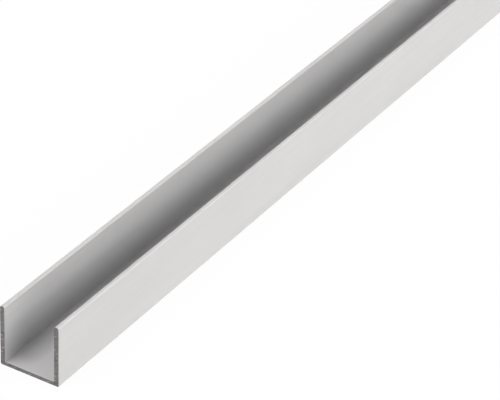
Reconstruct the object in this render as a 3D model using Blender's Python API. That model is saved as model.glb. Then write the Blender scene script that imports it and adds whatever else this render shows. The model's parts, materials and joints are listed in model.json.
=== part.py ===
"""Channel section: a length of equal-leg aluminium U, extruded in one piece and sawn to length.

It lies on its web with the legs up. Units are metres and +Z is up. The origin is the middle
of the underside: X runs across the web, Y along the stock and Z up the legs.
Run with: blender --background --python part.py
"""

import math

import bmesh
import bpy
from mathutils import Vector

# Driving dimensions of the section and the length that it is sold in
STOCK_LENGTH = 1.000
WEB_WIDTH = 0.0200  # over the outsides of both legs
LEG_HEIGHT = 0.0200  # from the underside of the web to the tips
LEG_THICKNESS = 0.0015
WEB_THICKNESS = 0.0012

# Edges that the extrusion die rounds
HEEL_RADIUS = 0.0003  # outside, where a leg turns into the web
ROOT_RADIUS = 0.0003  # inside, where a leg stands on the web
TIP_RADIUS = 0.0006  # both edges of a leg's tip
ARC_STEPS = 8  # flats in each rounded edge

# Edges that the saw leaves, broken with a file
END_CHAMFER = 0.00005

# A fillet takes at most this share of the wall that it is cut in
LARGEST_FILLET_SHARE = 0.45

# Matt mill-finished aluminium, as linear colour
ALUMINIUM_COLOUR = (0.70, 0.70, 0.69, 1.0)
ALUMINIUM_ROUGHNESS = 0.70
SMOOTH_ANGLE = math.radians(30)


def clear_scene():
    for old in list(bpy.data.objects):
        bpy.data.objects.remove(old, do_unlink=True)


def aluminium():
    material = bpy.data.materials.new("aluminium")
    material.use_nodes = True
    shader = material.node_tree.nodes["Principled BSDF"]
    shader.inputs["Base Color"].default_value = ALUMINIUM_COLOUR
    shader.inputs["Metallic"].default_value = 1.0
    shader.inputs["Roughness"].default_value = ALUMINIUM_ROUGHNESS
    return material


def section_corners():
    """The section's eight corners with their fillet radii, anticlockwise as seen looking along +Y."""
    half_width = WEB_WIDTH / 2
    half_gap = half_width - LEG_THICKNESS
    thinnest_wall = min(LEG_THICKNESS, WEB_THICKNESS)
    heel = min(HEEL_RADIUS, thinnest_wall)
    tip = min(TIP_RADIUS, LARGEST_FILLET_SHARE * LEG_THICKNESS)
    return [
        (-half_width, 0.0, heel),
        (half_width, 0.0, heel),
        (half_width, LEG_HEIGHT, tip),
        (half_gap, LEG_HEIGHT, tip),
        (half_gap, WEB_THICKNESS, ROOT_RADIUS),
        (-half_gap, WEB_THICKNESS, ROOT_RADIUS),
        (-half_gap, LEG_HEIGHT, tip),
        (-half_width, LEG_HEIGHT, tip),
    ]


def rounded_outline(corners):
    """Points round a polygon of right angles, each corner turned on an arc of its own radius."""
    points = []
    for i, (x, z, radius) in enumerate(corners):
        here = Vector((x, z))
        to_last = (Vector(corners[i - 1][:2]) - here).normalized()
        to_next = (Vector(corners[(i + 1) % len(corners)][:2]) - here).normalized()
        centre = here + radius * (to_last + to_next)
        for step in range(ARC_STEPS + 1):
            turn = math.radians(90) * step / ARC_STEPS
            points.append(centre - radius * (math.cos(turn) * to_next + math.sin(turn) * to_last))
    return points


def extrude_section(bm, outline):
    """Draws the outline at the near end and pulls it along +Y to the far one."""
    near_ring = [bm.verts.new((p.x, -STOCK_LENGTH / 2, p.y)) for p in outline]
    near_face = bm.faces.new(near_ring)
    pulled = bmesh.ops.extrude_face_region(bm, geom=[near_face])
    far_ring = [item for item in pulled["geom"] if isinstance(item, bmesh.types.BMVert)]
    bmesh.ops.translate(bm, verts=far_ring, vec=(0.0, STOCK_LENGTH, 0.0))
    bmesh.ops.recalc_face_normals(bm, faces=bm.faces)


def break_sawn_edges(bm):
    """Chamfers the loop of edges round each sawn end."""
    sawn_edges = [edge for edge in bm.edges if edge.verts[0].co.y == edge.verts[1].co.y]
    bmesh.ops.bevel(
        bm,
        geom=sawn_edges,
        offset=END_CHAMFER,
        offset_type="OFFSET",
        segments=1,
        affect="EDGES",
        clamp_overlap=False,
    )


def channel_section():
    bm = bmesh.new()
    extrude_section(bm, rounded_outline(section_corners()))
    break_sawn_edges(bm)
    mesh = bpy.data.meshes.new("channel_section")
    bm.to_mesh(mesh)
    bm.free()
    mesh.materials.append(aluminium())
    mesh.shade_smooth()
    mesh.set_sharp_from_angle(angle=SMOOTH_ANGLE)
    channel = bpy.data.objects.new("channel_section", mesh)
    bpy.context.scene.collection.objects.link(channel)
    return channel


clear_scene()
channel_section()
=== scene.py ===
"""Looks of the channel section: its satin extruded metal, its sawn ends, and the light round it.

The CAD solid gives the sizes. It is replaced by a finer mesh of the same section, which adds the
die's faint lines along the length, and the saw's marks and rounded edges on both ends.
Lengths are in metres, in the CAD's frame: X across the web, Y along the stock, Z up the legs.
"""

import json
import math
import random

import bpy
from mathutils import Matrix, Vector


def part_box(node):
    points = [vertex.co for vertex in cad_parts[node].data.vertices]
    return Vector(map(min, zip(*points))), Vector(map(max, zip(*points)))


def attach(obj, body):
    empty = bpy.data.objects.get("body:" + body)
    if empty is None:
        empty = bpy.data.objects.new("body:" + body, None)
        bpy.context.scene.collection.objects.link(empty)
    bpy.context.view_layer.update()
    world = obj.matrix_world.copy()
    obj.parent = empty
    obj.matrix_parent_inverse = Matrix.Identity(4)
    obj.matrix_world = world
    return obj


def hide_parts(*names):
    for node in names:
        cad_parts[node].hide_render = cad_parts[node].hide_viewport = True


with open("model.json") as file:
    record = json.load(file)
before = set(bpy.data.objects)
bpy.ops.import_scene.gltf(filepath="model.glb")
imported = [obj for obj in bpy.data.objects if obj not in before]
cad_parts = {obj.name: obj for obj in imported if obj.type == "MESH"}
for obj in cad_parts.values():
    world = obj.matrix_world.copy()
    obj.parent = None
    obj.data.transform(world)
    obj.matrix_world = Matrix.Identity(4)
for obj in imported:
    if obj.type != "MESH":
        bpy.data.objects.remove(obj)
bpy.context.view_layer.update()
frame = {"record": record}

MM = 0.001
NODE = "channel_section"

# The section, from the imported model
LOW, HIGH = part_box(NODE)
MOUNTS = {mount["name"]: Vector(mount["pos_m"]) for mount in frame["record"]["mounts"]}
HALF_WIDTH = HIGH.x
LEG_HEIGHT = HIGH.z
HALF_GAP = MOUNTS["right_leg_inside"].x
WEB_THICKNESS = MOUNTS["trough_floor"].z

# The rounded edges, as in the solid
HEEL_RADIUS = 0.3 * MM
ROOT_RADIUS = 0.3 * MM
TIP_RADIUS = 0.6 * MM

# How finely the section is cut up
TIP_STEPS = 10
CORNER_STEPS = 10
LEG_STEPS = 130
WEB_STEPS = 130
STEPS_ACROSS_WALL = 12
ROWS_ALONG = 24
SMOOTH_ANGLE = math.radians(50)

# The rounded edge that the saw left round each end
EDGE_WIDTH = 0.05 * MM
EDGE_STEPS = 3

# Faint lines that the die leaves along the whole length
DIE_LINE_DEPTH = 0.004 * MM
DIE_LINE_SHARE = 0.25  # of the points round the section

# Marks of the saw's teeth: arcs round the blade's middle, which lies above the stock
BLADE_CENTRE = (-60 * MM, 125 * MM)
SAW_MARK_SPACING = 1.2 * MM
SAW_MARK_DEPTH = 0.07 * MM
SAW_MARK_WIDTH = 0.24 * MM
SAW_MARK_REACH = 3  # widths to either side, past which a mark is level
SAW_MARKS_BEFORE = 10 * MM  # they start this much nearer the blade's middle than the tips' level
SAW_MARKS_BEYOND = 1 * MM  # and go on at least this far past the section's farthest corner

# Painted glints: bright streaks along the same arcs, painted into the sawn metal's colour for saw marks
# catching light
PAINTED_GLINT_SPACING = 1.3 * MM

# The mesh's material slots
EXTRUDED = 0
SAWN = 1

# Seeds of the random draws
DIE_SEED = 11
NEAR_SAW_SEED = 21
FAR_SAW_SEED = 34

# The camera, at the photograph's viewing angle
AIM = Vector((HALF_WIDTH, LOW.y + 102.23 * MM, 9.51 * MM))
AZIMUTH = math.radians(29.98)
ELEVATION = math.radians(32.01)
ROLL = math.radians(2.73)
DISTANCE = 764.4 * MM
LENS = 178.47
SENSOR_WIDTH = 36.0

# The softboxes, all as far from the near part of the channel, and the faint tints of their light
LAMP_TARGET = Vector((0, LOW.y + 100 * MM, 10 * MM))
LAMP_DISTANCE = 1.4
LAMP_POWER = 4  # watts for each square metre of lamp, at a brightness of 1
COOL = (0.975, 0.982, 1.0)
WARM = (1.0, 0.885, 0.74)
ROSE = (1.0, 0.945, 0.975)

# The floor, and how far it is plain white to the camera and in the metal's reflections
FLOOR_SIZE = 12.0
FLOOR_COLOUR = (0.86, 0.86, 0.86, 1)
WHITE_FLOOR_SHARE = 0.94

# The studio's white walls rise to the first angle, and have faded to its dim ceiling at the second.
# Both are sines, to be set against the height of a direction of length 1.
WALL_TOP = math.sin(math.radians(2))
CEILING_START = math.sin(math.radians(12))
CEILING_LIGHT = 0.1


# Section and mesh

def lerp(a, b, t):
    return a + (b - a) * t


def tip_rungs(w, g, top, radius):
    """Rungs over a rounded tip, from its flat top down to where the leg's sides are straight."""
    rungs = []
    for step in range(TIP_STEPS):
        a = math.radians(90) * (1 - step / TIP_STEPS)
        z = top - radius + radius * math.sin(a)
        shift = radius - radius * math.cos(a)
        rungs.append(((-w + shift, z), (-g - shift, z)))
    return rungs


def section_rungs(inset):
    """The section as a ladder bent into a U: pairs of an outer and an inner point, as (x, z).

    They run from the left tip round the web to the right tip. The inset shrinks the section
    evenly on all sides, for the edge round a sawn end.
    """
    w = HALF_WIDTH - inset
    g = HALF_GAP + inset
    top = LEG_HEIGHT - inset
    floor = WEB_THICKNESS - inset
    tip = TIP_RADIUS - inset
    heel = HEEL_RADIUS - inset
    root = ROOT_RADIUS + inset
    left = tip_rungs(w, g, top, tip)
    for step in range(LEG_STEPS):
        t = step / LEG_STEPS
        outer = (-w, lerp(top - tip, inset + heel, t))
        inner = (-g, lerp(top - tip, floor + root, t))
        left.append((outer, inner))
    for step in range(CORNER_STEPS):
        a = math.radians(90) * step / CORNER_STEPS
        outer = (-w + heel - heel * math.cos(a), inset + heel - heel * math.sin(a))
        inner = (-g + root - root * math.cos(a), floor + root - root * math.sin(a))
        left.append((outer, inner))
    web = []
    for step in range(WEB_STEPS + 1):
        t = step / WEB_STEPS
        outer = (lerp(-w + heel, w - heel, t), inset)
        inner = (lerp(-g + root, g - root, t), floor)
        web.append((outer, inner))
    right = [((-o[0], o[1]), (-i[0], i[1])) for o, i in reversed(left)]
    return left + web + right


def rung_points(rung):
    """Evenly spaced points across the wall, from the outer to the inner one."""
    (ox, oz), (ix, iz) = rung
    steps = [step / STEPS_ACROSS_WALL for step in range(STEPS_ACROSS_WALL + 1)]
    return [(lerp(ox, ix, t), lerp(oz, iz, t)) for t in steps]


def rim(grid):
    """The closed loop round a ladder grid: outer side, right tip, inner side, left tip."""
    outer = [row[0] for row in grid]
    inner = [row[-1] for row in reversed(grid)]
    return outer + grid[-1][1:-1] + inner + list(reversed(grid[0][1:-1]))


def loop_normals(loop):
    """Unit vectors out of the metal at each point of the section's loop."""
    normals = []
    count = len(loop)
    for i in range(count):
        x0, z0 = loop[i - 1]
        x1, z1 = loop[(i + 1) % count]
        normal = Vector((z0 - z1, x1 - x0))
        normals.append(-normal.normalized())
    return normals


def die_lines(count):
    """A depth for each point round the section: mostly level, with a few scored or raised lines."""
    dice = random.Random(DIE_SEED)
    depths = []
    for _ in range(count):
        marked = dice.random() < DIE_LINE_SHARE
        depths.append(dice.uniform(-1, 1) * DIE_LINE_DEPTH if marked else 0.0)
    return [(depths[i - 1] + 2 * depths[i] + depths[(i + 1) % count]) / 4 for i in range(count)]


def saw_marks(seed):
    """Distances from the blade's middle at which its teeth left a ridge, each with its height."""
    dice = random.Random(seed)
    nearest = BLADE_CENTRE[1] - LEG_HEIGHT - SAW_MARKS_BEFORE
    farthest = math.hypot(HALF_WIDTH - BLADE_CENTRE[0], BLADE_CENTRE[1]) + SAW_MARKS_BEYOND
    marks = []
    radius = nearest
    while radius < farthest:
        radius += SAW_MARK_SPACING * dice.uniform(0.8, 1.2)
        marks.append((radius, SAW_MARK_DEPTH * dice.uniform(0.3, 1.0)))
    return marks


def saw_relief(x, z, marks):
    """How far the sawn face stands back at a point, from the marks near it."""
    radius = math.hypot(x - BLADE_CENTRE[0], z - BLADE_CENTRE[1])
    depth = 0.0
    for middle, height in marks:
        away = (radius - middle) / SAW_MARK_WIDTH
        if abs(away) < SAW_MARK_REACH:
            depth += height * math.exp(-away * away)
    return depth


def sawn_channel():
    """The whole length as one closed mesh, with the sawn faces and their edges in a slot of their own."""
    verts, faces, slots = [], [], []

    def add_vert(x, y, z):
        verts.append((x, y, z))
        return len(verts) - 1

    def add_face(corners, slot, flip):
        faces.append(tuple(reversed(corners)) if flip else tuple(corners))
        slots.append(slot)

    def bridge(ring_a, ring_b, slot):
        for i in range(len(ring_a)):
            j = (i + 1) % len(ring_a)
            add_face((ring_a[i], ring_b[i], ring_b[j], ring_a[j]), slot, False)

    def cap(y, inward, seed):
        """A sawn face: a ladder grid with the saw's relief, and its rim for the next ring."""
        marks = saw_marks(seed)
        grid = []
        for rung in section_rungs(EDGE_WIDTH):
            row = []
            for x, z in rung_points(rung):
                row.append(add_vert(x, y + inward * saw_relief(x, z, marks), z))
            grid.append(row)
        for row, following in zip(grid, grid[1:]):
            for j in range(STEPS_ACROSS_WALL):
                corners = (row[j], following[j], following[j + 1], row[j + 1])
                add_face(corners, SAWN, inward < 0)
        return rim(grid)

    def ring(inset, y, lines):
        loop = rim([rung_points(rung) for rung in section_rungs(inset)])
        normals = loop_normals(loop)
        return [
            add_vert(x + n.x * d, y, z + n.y * d)
            for (x, z), n, d in zip(loop, normals, lines)
        ]

    rings = [cap(LOW.y, 1, NEAR_SAW_SEED)]
    lines = die_lines(len(rings[0]))
    band_slots = []
    for step in range(1, EDGE_STEPS):
        a = math.radians(90) * step / EDGE_STEPS
        back = EDGE_WIDTH * (1 - math.cos(a))
        rings.append(ring(EDGE_WIDTH * (1 - math.sin(a)), LOW.y + back, lines))
        band_slots.append(SAWN)
    for row in range(ROWS_ALONG + 1):
        y = lerp(LOW.y + EDGE_WIDTH, HIGH.y - EDGE_WIDTH, row / ROWS_ALONG)
        rings.append(ring(0.0, y, lines))
        band_slots.append(EXTRUDED if row else SAWN)
    for step in range(EDGE_STEPS - 1, 0, -1):
        a = math.radians(90) * step / EDGE_STEPS
        back = EDGE_WIDTH * (1 - math.cos(a))
        rings.append(ring(EDGE_WIDTH * (1 - math.sin(a)), HIGH.y - back, lines))
        band_slots.append(SAWN)
    rings.append(cap(HIGH.y, -1, FAR_SAW_SEED))
    band_slots.append(SAWN)
    for ring_a, ring_b, slot in zip(rings, rings[1:], band_slots):
        bridge(ring_a, ring_b, slot)

    mesh = bpy.data.meshes.new("sawn_channel")
    mesh.from_pydata(verts, [], faces)
    for polygon, slot in zip(mesh.polygons, slots):
        polygon.material_index = slot
    mesh.shade_smooth()
    mesh.set_sharp_from_angle(angle=SMOOTH_ANGLE)
    channel = bpy.data.objects.new("sawn_channel", mesh)
    bpy.context.scene.collection.objects.link(channel)
    return channel


# Materials

class Nodes:
    """A short way to write a material's node tree."""

    def __init__(self, name):
        self.material = bpy.data.materials.new(name)
        self.material.use_nodes = True
        self.tree = self.material.node_tree
        self.shader = self.tree.nodes["Principled BSDF"]
        self.output = self.tree.nodes["Material Output"]

    def add(self, kind, **settings):
        node = self.tree.nodes.new(kind)
        for key, value in settings.items():
            setattr(node, key, value)
        return node

    def link(self, source, target):
        self.tree.links.new(source, target)

    def stretched_noise(self, stretch, scale, detail):
        """Noise in object space, drawn out along the stock."""
        place = self.add("ShaderNodeTexCoord")
        mapping = self.add("ShaderNodeMapping")
        mapping.inputs["Scale"].default_value = stretch
        noise = self.add("ShaderNodeTexNoise")
        noise.inputs["Scale"].default_value = scale
        noise.inputs["Detail"].default_value = detail
        self.link(place.outputs["Object"], mapping.inputs["Vector"])
        self.link(mapping.outputs["Vector"], noise.inputs["Vector"])
        return noise.outputs["Fac"]

    def painted_saw_glints(self):
        """Painted glints: thin arcs round the saw blade's middle, broken into short bright streaks for
        saw marks catching light: 1 on a streak.
        """
        place = self.add("ShaderNodeTexCoord")
        from_blade = self.add("ShaderNodeVectorMath", operation="SUBTRACT")
        from_blade.inputs[1].default_value = (BLADE_CENTRE[0], 0, BLADE_CENTRE[1])
        flat = self.add("ShaderNodeVectorMath", operation="MULTIPLY")
        flat.inputs[1].default_value = (1, 0, 1)
        rings = self.add("ShaderNodeTexWave", wave_type="RINGS", rings_direction="SPHERICAL")
        rings.inputs["Scale"].default_value = math.pi / (10 * PAINTED_GLINT_SPACING)
        rings.inputs["Distortion"].default_value = 1.2
        rings.inputs["Detail"].default_value = 1
        thin = self.remap(rings.outputs["Fac"], 0, 1, 0.78, 0.98)
        broken = self.remap(self.stretched_noise((1, 1, 1), 1100, 2), 0, 1, 0.52, 0.62)
        both = self.add("ShaderNodeMath", operation="MULTIPLY")
        self.link(place.outputs["Object"], from_blade.inputs[0])
        self.link(from_blade.outputs["Vector"], flat.inputs[0])
        self.link(flat.outputs["Vector"], rings.inputs["Vector"])
        self.link(thin, both.inputs[0])
        self.link(broken, both.inputs[1])
        return both.outputs["Value"]

    def remap(self, source, low, high, from_low=0.3, from_high=0.7):
        """Stretches a noise's usual range, or another, to the one given."""
        remap = self.add("ShaderNodeMapRange")
        remap.inputs["From Min"].default_value = from_low
        remap.inputs["From Max"].default_value = from_high
        remap.inputs["To Min"].default_value = low
        remap.inputs["To Max"].default_value = high
        self.link(source, remap.inputs["Value"])
        return remap.outputs["Result"]

    def between(self, source, dark, light):
        """A colour between two, by a noise."""
        mix = self.add("ShaderNodeMix", data_type="RGBA")
        mix.inputs["A"].default_value = (*dark, 1)
        mix.inputs["B"].default_value = (*light, 1)
        self.link(self.remap(source, 0, 1), mix.inputs["Factor"])
        return mix.outputs["Result"]

    def over(self, share, under, colour):
        """A colour laid over another one, where the share is 1."""
        mix = self.add("ShaderNodeMix", data_type="RGBA")
        mix.inputs["B"].default_value = (*colour, 1)
        self.link(share, mix.inputs["Factor"])
        self.link(under, mix.inputs["A"])
        return mix.outputs["Result"]

    def bump(self, source, strength, distance, under=None):
        bump = self.add("ShaderNodeBump")
        bump.inputs["Strength"].default_value = strength
        bump.inputs["Distance"].default_value = distance
        self.link(source, bump.inputs["Height"])
        if under is not None:
            self.link(under, bump.inputs["Normal"])
        return bump.outputs["Normal"]


def extruded_metal():
    """Satin aluminium as the die left it: dull, finely lined along its length."""
    n = Nodes("extruded_aluminium")
    fine_lines = n.stretched_noise((1, 0.012, 1), 5200, 3)
    broad_bands = n.stretched_noise((1, 0.03, 1), 420, 2)
    clouds = n.stretched_noise((1, 0.3, 1), 60, 4)
    grain = n.stretched_noise((1, 0.4, 1), 9000, 2)
    n.shader.inputs["Metallic"].default_value = 1.0
    colour = n.between(clouds, (0.662, 0.662, 0.662), (0.692, 0.691, 0.689))
    n.link(colour, n.shader.inputs["Base Color"])
    n.link(n.remap(broad_bands, 0.79, 0.84), n.shader.inputs["Roughness"])
    lined = n.bump(fine_lines, 0.12, 0.02 * MM)
    n.link(n.bump(grain, 0.10, 0.01 * MM, under=lined), n.shader.inputs["Normal"])
    return n.material


def sawn_metal_painted_light():
    """The saw's face: rough, with a base colour kept dark as painted shade of an end turned away from the
    lamps, over the darker tone of its rough finish, and with painted glints: short bright streaks along
    the teeth's path.
    """
    n = Nodes("sawn_aluminium_painted_light")
    torn = n.stretched_noise((1, 1, 1), 2600, 3)
    patches = n.stretched_noise((1, 1, 1), 420, 3)
    n.shader.inputs["Metallic"].default_value = 1.0
    # Painted shade: the sawn face's colour is kept dark for an end turned away from the lamps, and the
    # patches vary it at random
    dull = n.between(patches, (0.150, 0.145, 0.144), (0.235, 0.228, 0.226))
    # Painted glints: bright streaks along the saw's arcs, laid over the dark colour for saw marks
    # catching light
    n.link(n.over(n.painted_saw_glints(), dull, (0.44, 0.43, 0.425)), n.shader.inputs["Base Color"])
    n.link(n.remap(torn, 0.36, 0.56), n.shader.inputs["Roughness"])
    n.link(n.bump(torn, 0.35, 0.03 * MM), n.shader.inputs["Normal"])
    return n.material


# Floor, light and camera

def studio_floor():
    """A pale floor that the camera sees as nearly white, with the object's soft shadow on it."""
    mesh = bpy.data.meshes.new("floor")
    half = FLOOR_SIZE / 2
    corners = [(-half, -half, 0), (half, -half, 0), (half, half, 0), (-half, half, 0)]
    mesh.from_pydata(corners, [], [(0, 1, 2, 3)])
    floor = bpy.data.objects.new("floor", mesh)
    bpy.context.scene.collection.objects.link(floor)
    n = Nodes("floor")
    n.tree.nodes.remove(n.shader)
    plain = n.add("ShaderNodeBsdfDiffuse")
    plain.inputs["Color"].default_value = FLOOR_COLOUR
    white = n.add("ShaderNodeEmission")
    white.inputs["Color"].default_value = (1, 1, 1, 1)
    rays = n.add("ShaderNodeLightPath")
    mirrored = n.add("ShaderNodeMath", operation="MAXIMUM")
    seen = n.add("ShaderNodeMath", operation="MAXIMUM")
    share = n.add("ShaderNodeMath", operation="MULTIPLY")
    share.inputs[1].default_value = WHITE_FLOOR_SHARE
    mix = n.add("ShaderNodeMixShader")
    n.link(rays.outputs["Is Glossy Ray"], mirrored.inputs[0])
    n.link(rays.outputs["Is Transmission Ray"], mirrored.inputs[1])
    n.link(rays.outputs["Is Camera Ray"], seen.inputs[0])
    n.link(mirrored.outputs["Value"], seen.inputs[1])
    n.link(seen.outputs["Value"], share.inputs[0])
    n.link(share.outputs["Value"], mix.inputs["Fac"])
    n.link(plain.outputs["BSDF"], mix.inputs[1])
    n.link(white.outputs["Emission"], mix.inputs[2])
    n.link(mix.outputs["Shader"], n.output.inputs["Surface"])
    mesh.materials.append(n.material)


def studio():
    """The room round the floor: low white walls that fade into a dim ceiling."""
    world = bpy.data.worlds.new("studio")
    bpy.context.scene.world = world
    world.use_nodes = True
    tree = world.node_tree
    place = tree.nodes.new("ShaderNodeTexCoord")
    parts = tree.nodes.new("ShaderNodeSeparateXYZ")
    level = tree.nodes.new("ShaderNodeMapRange")
    level.interpolation_type = "SMOOTHSTEP"
    level.inputs["From Min"].default_value = WALL_TOP
    level.inputs["From Max"].default_value = CEILING_START
    level.inputs["To Min"].default_value = 1.0
    level.inputs["To Max"].default_value = CEILING_LIGHT
    background = tree.nodes["Background"]
    background.inputs["Color"].default_value = (1, 1, 1, 1)
    tree.links.new(place.outputs["Generated"], parts.inputs["Vector"])
    tree.links.new(parts.outputs["Z"], level.inputs["Value"])
    tree.links.new(level.outputs["Result"], background.inputs["Strength"])


def softbox(name, azimuth, elevation, width, height, brightness, colour=(1.0, 1.0, 1.0)):
    """A rectangular lamp of even brightness, turned to the near part of the channel.

    The azimuth runs from +X towards +Y. A brightness of 1 is that of a white card in plain light.
    """
    lamp = bpy.data.lights.new(name, "AREA")
    lamp.color = colour
    lamp.shape = "RECTANGLE"
    lamp.size = width
    lamp.size_y = height
    lamp.energy = LAMP_POWER * width * height * brightness
    holder = bpy.data.objects.new(name, lamp)
    a, e = math.radians(azimuth), math.radians(elevation)
    towards = Vector((math.cos(a) * math.cos(e), math.sin(a) * math.cos(e), math.sin(e)))
    holder.location = LAMP_TARGET + towards * LAMP_DISTANCE
    holder.rotation_euler = (-towards).to_track_quat("-Z", "Y").to_euler()
    bpy.context.scene.collection.objects.link(holder)


def lamps():
    """Soft lamps all round: strongest beside the right leg, and from high up for the web and the tips."""
    softbox("key", 0, 31, 1.5, 0.55, 3.6, colour=COOL)
    softbox("key_behind", 30, 28, 0.8, 0.5, 2.0, colour=COOL)
    softbox("key_low", 8, 15, 1.5, 0.42, 1.4, colour=WARM)
    softbox("back", 80, 25, 1.0, 0.5, 1.2, colour=COOL)
    softbox("fill", 147, 12, 1.7, 0.5, 2.5)
    softbox("left", 180, 32, 1.2, 0.5, 1.2)
    softbox("high_behind", 112, 70, 0.7, 0.5, 2.2)
    softbox("high_front", -120, 60, 0.8, 0.7, 4.5, colour=ROSE)


def photo_camera():
    """The camera, turned to AIM from the photograph's angle and rolled as the photograph is."""
    data = bpy.data.cameras.new("camera")
    data.lens = LENS
    data.sensor_width = SENSOR_WIDTH
    camera = bpy.data.objects.new("camera", data)
    back = Vector((
        math.sin(AZIMUTH) * math.cos(ELEVATION),
        -math.cos(AZIMUTH) * math.cos(ELEVATION),
        math.sin(ELEVATION),
    ))
    turn = (-back).to_track_quat("-Z", "Y").to_matrix().to_4x4()
    camera.matrix_world = Matrix.Translation(AIM + back * DISTANCE) @ turn @ Matrix.Rotation(ROLL, 4, "Z")
    bpy.context.scene.collection.objects.link(camera)
    bpy.context.scene.camera = camera


photo_camera()
channel = sawn_channel()
for material in (extruded_metal(), sawn_metal_painted_light()):
    channel.data.materials.append(material)
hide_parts(NODE)
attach(channel, "root")

studio_floor()
studio()
lamps()
bpy.context.scene.view_settings.view_transform = "Standard"
